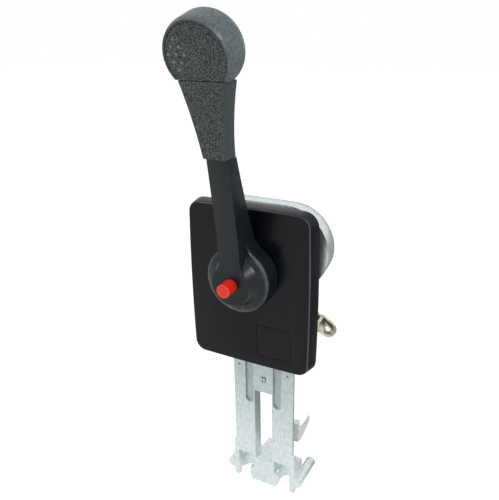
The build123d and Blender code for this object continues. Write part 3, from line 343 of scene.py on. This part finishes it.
# plated, ground and sintered metals
metalValues = {
    # yellow-passivated zinc on pressed steel: grey-gold, cloudy
    "zincYellow": {"dark": "#aaa58c", "light": "#efeada", "patchMm": 6.0, "brushMm": 0.5, "roughness": (0.22, 0.4)},
    # clear zinc on sheet steel: bluish grey
    "zincClear": {"dark": "#9aa0a4", "light": "#cccfd0", "patchMm": 8.0, "brushMm": 0.5, "roughness": (0.28, 0.42)},
    # ground steel: bright, with fine turning marks
    "groundSteel": {"dark": "#a5a7a8", "light": "#c8caca", "patchMm": 5.0, "brushMm": 0.3, "roughness": (0.2, 0.32)},
    # zinc-plated screws, a little worn
    "screwSteel": {"dark": "#a2a7a8", "light": "#d6d8d8", "patchMm": 3.0, "brushMm": 0.4, "roughness": (0.28, 0.4)},
    # drawn spring wire: darker, smooth
    "springWire": {"dark": "#5c6063", "light": "#83878a", "patchMm": 2.0, "brushMm": 0.3, "roughness": (0.25, 0.35)},
    # sintered bronze: dull brown-gold, porous
    "sinteredBronze": {"dark": "#8a6a3c", "light": "#b8935a", "patchMm": 2.5, "brushMm": 0.6, "roughness": (0.4, 0.55)},
    # sintered gear steel, oiled
    "gearSteel": {"dark": "#62656a", "light": "#8b8e91", "patchMm": 4.0, "brushMm": 0.5, "roughness": (0.35, 0.5)},
}


def plated(name, v):
    material, tree = newMaterial(name)
    place = objectPlace(tree)
    patch = noise(tree, place, v["patchMm"])
    bump = addNode(tree, "ShaderNodeBump", {"Height": noise(tree, place, v["brushMm"], 2.0)}, Strength=0.4,
                   Distance=0.01 * mm)
    shader = addNode(
        tree, "ShaderNodeBsdfPrincipled",
        {"Base Color": colourRamp(tree, patch, 0.3, 0.7, v["dark"], v["light"]),
         "Roughness": band(tree, patch, *v["roughness"]), "Normal": bump.outputs[0]},
        Metallic=0.95,
    )
    finishMaterial(tree, shader)
    return material


materials = {"castAluminium": castMetal("castAluminium", castValues)}
materials.update({name: moulded(name, v) for name, v in mouldedValues.items()})
materials.update({name: grainedVinyl(name, v, grainValues) for name, v in vinylValues.items()})
materials.update({name: plated(name, v) for name, v in metalValues.items()})

finishOf = {
    "castAluminium": ["housing"],
    "coverAbs": ["cover"],
    "insertAbs": ["blanking_insert"],
    "leverPaint": ["lever_arm"],
    "gripVinyl": ["grip_sleeve"],
    "knobVinyl": ["knob_body"],
    "padVinyl": ["knob_pad"],
    "buttonAcetal": ["throttle_button"],
    "clipNylon": ["cable_clip"],
    "zincYellow": ["shift_arm"],
    "zincClear": ["rear_plate", "throttle_crank", "thrust_washer", "crank_washer", "shaft_spacer",
                  "cover_spacers"],
    "groundSteel": ["main_shaft", "shift_shaft", "button_rod", "dog_pin", "detent_ball", "throttle_stud",
                    "shift_stud", "clip_rivet"],
    "screwSteel": ["rear_plate_screws", "cover_screws", "neck_screw", "hub_set_screw", "knob_stud",
                   "crank_nut"],
    "springWire": ["button_spring", "detent_spring", "shift_clip"],
    "sinteredBronze": ["front_bush", "rear_bush", "shift_bush"],
    "gearSteel": ["drive_gear", "detent_disc", "shift_sector"],
}
bodyOf = {node: body for body, owned in frame["record"]["behaviour"]["bodies"].items() for node in owned}
for name, owned in finishOf.items():
    for nodeName in owned:
        data = nodes[nodeName].data
        data.materials.clear()
        data.materials.append(materials[name])
print("materials assigned")


# softened pieces: the CAD form with the moulded or cast piece's rounded edges
softenedValues = {
    # node: edge radius in mm, segments, name of the finish
    "lever_arm": (1.3, 4, "leverPaint"),
    "cover": (0.9, 3, "coverAbs"),
    "grip_sleeve": (1.1, 4, "gripVinyl"),
    "knob_body": (0.5, 3, "knobVinyl"),
    "housing": (0.35, 2, "castAluminium"),
    "cable_clip": (0.2, 2, "clipNylon"),
    "shift_arm": (0.35, 2, "zincYellow"),
}
sharpDegrees = 28       # edges that turn more than this are rounded
flatDegrees = 0.4       # facets that turn less than this are one face


def softened(nodeName, width, segments, finish):  # a merged copy of the CAD mesh with its sharp edges bevelled
    shape = bmesh.new()
    shape.from_mesh(nodes[nodeName].data)
    bmesh.ops.remove_doubles(shape, verts=shape.verts, dist=1e-6)
    bmesh.ops.dissolve_limit(shape, angle_limit=np.radians(flatDegrees), verts=shape.verts, edges=shape.edges)
    for face in shape.faces:
        face.smooth = True
    data = bpy.data.meshes.new(nodeName + "Softened")
    shape.to_mesh(data)
    shape.free()
    data.materials.clear()
    data.materials.append(materials[finish])
    piece = bpy.data.objects.new(nodeName + "Softened", data)
    bpy.context.scene.collection.objects.link(piece)
    bevel = piece.modifiers.new("edges", "BEVEL")
    bevel.width = width * mm
    bevel.segments = segments
    bevel.limit_method = "ANGLE"
    bevel.angle_limit = np.radians(sharpDegrees)
    bevel.use_clamp_overlap = True
    bevel.harden_normals = True
    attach(piece, bodyOf[nodeName])
    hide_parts(nodeName)


for nodeName, (width, segments, finish) in softenedValues.items():
    softened(nodeName, width, segments, finish)
print("edges rounded")


# turned and domed small pieces

def meshPiece(name, points, faces, finish):
    data = bpy.data.meshes.new(name)
    data.from_pydata(points.tolist(), [], faces)
    data.polygons.foreach_set("use_smooth", np.ones(len(data.polygons), bool))
    data.materials.append(materials[finish])
    data.update()
    piece = bpy.data.objects.new(name, data)
    bpy.context.scene.collection.objects.link(piece)
    return piece


def ringQuads(rings, steps):  # point 0 is the middle or the end, and the rings' points follow it
    row, column = np.meshgrid(np.arange(rings - 1), np.arange(steps), indexing="ij")
    after = (column + 1) % steps
    return np.stack([1 + row * steps + column, 1 + row * steps + after,
                     1 + (row + 1) * steps + after, 1 + (row + 1) * steps + column], axis=-1).reshape(-1, 4)


def turned(profile, steps):
    # A profile of (radius, height) pairs carried round the axis: x = r cos a, z = r sin a, y = height.
    # Rings are joined by quads, and one point closes each end.
    rings = np.array(profile)
    angles = np.linspace(0, 2 * np.pi, steps, endpoint=False)
    radius, height = rings[1:-1, 0], rings[1:-1, 1]
    ring = np.stack([
        radius[:, None] * np.cos(angles),
        np.repeat(height[:, None], steps, axis=1),
        radius[:, None] * np.sin(angles),
    ], axis=-1).reshape(-1, 3)
    points = np.vstack([[[0, rings[0, 1], 0]], ring, [[0, rings[-1, 1], 0]]])
    quads = ringQuads(len(radius), steps)
    around = np.arange(steps)
    first = np.stack([np.zeros(steps, int), 1 + (around + 1) % steps, 1 + around], axis=-1)
    base = 1 + (len(radius) - 1) * steps
    last = np.stack([np.full(steps, len(points) - 1), base + around, base + (around + 1) % steps], axis=-1)
    return points, quads.tolist() + first.tolist() + last.tolist()


# a moulded button: rounded rim with a shallow dish for the thumb
buttonValues = {
    "radius": 5.75,     # mm
    "rimRadius": 1.1,
    "dish": 0.45,
    "dishRadius": 3.99,
    "front": -68.0,     # mm along Y
    "back": -51.9,
    "steps": 64,
}


def makeButton(v):
    r, rim = v["radius"], v["rimRadius"]
    arc = np.radians(np.linspace(90, 0, 8))
    dish = [(x, v["front"] + v["dish"] * (1 - (x / v["dishRadius"]) ** 2))
            for x in np.linspace(0, v["dishRadius"], 7)]
    edge = [(r - rim + rim * np.cos(a), v["front"] + rim - rim * np.sin(a)) for a in arc]
    wall = [(r, y) for y in np.linspace(v["front"] + rim + 1.0, v["back"] - 0.02, 4)]
    profile = dish + edge + wall + [(0.01, v["back"]), (0, v["back"])]
    points, faces = turned(profile, v["steps"])
    piece = meshPiece("buttonCap", points * mm, faces, "buttonAcetal")
    shape = bmesh.new()
    shape.from_mesh(piece.data)
    bmesh.ops.recalc_face_normals(shape, faces=shape.faces)
    shape.to_mesh(piece.data)
    shape.free()
    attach(piece, "button")
    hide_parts("throttle_button")


makeButton(buttonValues)


def makeButtonSpring():
    piece = bpy.data.objects.new("buttonCoil", nodes["button_spring"].data.copy())
    bpy.context.scene.collection.objects.link(piece)
    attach(piece, "lever")
    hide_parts("button_spring")
    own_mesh(piece)


makeButtonSpring()

# raised finger dots on the disc's left part: low domes that stand on its face
dotValues = {
    "centre": (0.0, -91.6, 177.3),      # mm, the disc face's middle
    "tiltDegrees": 16.4,
    "radius": 1.35,
    "rise": 0.38,
    "groupCentre": (-14.0, 1.8),        # across and up from the disc's middle
    "groupHalf": (7.2, 14.0),
    "pitch": (6.2, 5.2),
    "sink": 0.02,                       # mm that the dome's foot lies under the face
    "rings": 5,
    "steps": 20,
}


def dotPlaces(v):
    # Rows k and columns j: u = centre + pitch (j + k / 2 for odd k), v = centre + pitch k, kept inside an ellipse.
    row, column = (grid.ravel() for grid in np.meshgrid(np.arange(-2, 3), np.arange(-2, 3), indexing="ij"))
    offset = np.stack([v["pitch"][0] * (column + 0.5 * (row % 2)), v["pitch"][1] * row], axis=-1)
    inside = ((offset / np.array(v["groupHalf"])) ** 2).sum(axis=1) < 1
    return np.array(v["groupCentre"]) + offset[inside]


def makeDots(v):
    # One dome: height = rise (1 - (r / radius)^2)^2 over rings of r, copied to each place on the tilted face.
    rings, steps = v["rings"], v["steps"]
    r = np.linspace(0, 1, rings + 1)[1:]
    a = np.linspace(0, 2 * np.pi, steps, endpoint=False)
    u = np.concatenate([[0], (v["radius"] * r[:, None] * np.cos(a)).ravel()])
    w = np.concatenate([[0], (v["radius"] * r[:, None] * np.sin(a)).ravel()])
    h = np.concatenate([[v["rise"]], np.repeat(v["rise"] * (1 - r ** 2) ** 2, steps)]) - v["sink"]
    tilt = np.radians(v["tiltDegrees"])
    out = np.array([0, -np.cos(tilt), -np.sin(tilt)])
    up = np.array([0, -np.sin(tilt), np.cos(tilt)])
    places = dotPlaces(v)
    points = (np.array(v["centre"]) + (places[:, None, 0] + u)[..., None] * np.array([1, 0, 0])
              + (places[:, None, 1] + w)[..., None] * up + h[None, :, None] * out)
    quads = ringQuads(rings, steps)
    around = np.arange(steps)
    cap = np.stack([np.zeros(steps, int), 1 + around, 1 + (around + 1) % steps], axis=-1)
    dome = quads[:, ::-1].tolist() + cap.tolist()
    faces = [[point + k * len(u) for point in face] for k in range(len(places)) for face in dome]
    piece = meshPiece("fingerDots", points.reshape(-1, 3) * mm, faces, "dotVinyl")
    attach(piece, "lever")


makeDots(dotValues)
print("button and finger dots made")


# floor and light
stageValues = {
    "floorGap": 0.5,        # mm below the lowest point
    "floorHalf": 4.0,       # m
    "floorColour": "#f2f2f0",
    "floorGlow": 0.82,      # seen by the camera
    "floorShade": 0.42,     # share of the shaded paper that is added to it
    "floorShine": (0.97, 0.34),     # seen in reflections: before the object, and behind it
    "shineFrom": (0.0, 0.09),       # m along Y, where the one fades into the other
    "diffuseWorld": 0.5,
    "glossyWorld": 0.85,
}
lampValues = {
    # place in m, size in m, power in W
    "keyLight": ((-0.9, -1.0, 1.3), 0.5, 8.0),
    "fillLight": ((1.15, -0.35, 0.95), 0.35, 7.0),
}


def makeFloor(v):
    low = cadBounds[0][2] - v["floorGap"] * mm
    half = v["floorHalf"]
    data = bpy.data.meshes.new("floor")
    corners = [(-half, -half, low), (half, -half, low), (half, half, low), (-half, half, low)]
    data.from_pydata(corners, [], [(0, 1, 2, 3)])
    floor = bpy.data.objects.new("floor", data)
    bpy.context.scene.collection.objects.link(floor)
    material, tree = newMaterial("paperFloor")
    path = addNode(tree, "ShaderNodeLightPath")
    paper = addNode(tree, "ShaderNodeBsdfDiffuse", Color=linearColour(v["floorColour"]))
    shade = addNode(tree, "ShaderNodeBsdfDiffuse",
                    Color=tuple(v["floorShade"] * c for c in linearColour(v["floorColour"])[:3]) + (1.0,))
    glow = addNode(tree, "ShaderNodeEmission", Color=(1, 1, 1, 1), Strength=v["floorGlow"])
    lit = addNode(tree, "ShaderNodeAddShader", {0: shade.outputs[0], 1: glow.outputs[0]})
    spot = addNode(tree, "ShaderNodeSeparateXYZ", {0: objectPlace(tree)})
    fade = ramp(tree, spot.outputs["Y"], *v["shineFrom"], *v["floorShine"])
    shine = addNode(tree, "ShaderNodeEmission", {"Strength": fade}, Color=(1, 1, 1, 1))
    bounced = addNode(tree, "ShaderNodeMixShader",
                      {0: path.outputs["Is Glossy Ray"], 1: paper.outputs[0], 2: shine.outputs[0]})
    mixed = addNode(tree, "ShaderNodeMixShader",
                    {0: path.outputs["Is Camera Ray"], 1: bounced.outputs[0], 2: lit.outputs[0]})
    finishMaterial(tree, mixed)
    data.materials.append(material)


def makeWorld(v):
    world = bpy.data.worlds.new("studio")
    bpy.context.scene.world = world
    world.use_nodes = True
    tree = world.node_tree
    tree.nodes.clear()
    path = addNode(tree, "ShaderNodeLightPath")
    soft = addNode(tree, "ShaderNodeBackground", Color=(1, 1, 1, 1), Strength=v["diffuseWorld"])
    shine = addNode(tree, "ShaderNodeBackground", Color=(1, 1, 1, 1), Strength=v["glossyWorld"])
    white = addNode(tree, "ShaderNodeBackground", Color=(1, 1, 1, 1), Strength=1.0)
    bounced = addNode(tree, "ShaderNodeMixShader",
                      {0: path.outputs["Is Glossy Ray"], 1: soft.outputs[0], 2: shine.outputs[0]})
    mixed = addNode(tree, "ShaderNodeMixShader",
                    {0: path.outputs["Is Camera Ray"], 1: bounced.outputs[0], 2: white.outputs[0]})
    output = addNode(tree, "ShaderNodeOutputWorld")
    tree.links.new(output.inputs["Surface"], mixed.outputs[0])


def areaLight(name, place, size, energy):  # a square lamp that looks at the origin
    data = bpy.data.lights.new(name, "AREA")
    data.shape = "SQUARE"
    data.size = size
    data.energy = energy
    lamp = bpy.data.objects.new(name, data)
    lamp.location = place
    lamp.rotation_euler = (-Vector(place)).to_track_quat("-Z", "Y").to_euler()
    bpy.context.scene.collection.objects.link(lamp)


makeFloor(stageValues)
makeWorld(stageValues)
for name, (place, size, energy) in lampValues.items():
    areaLight(name, place, size, energy)
print("stage and lights set")
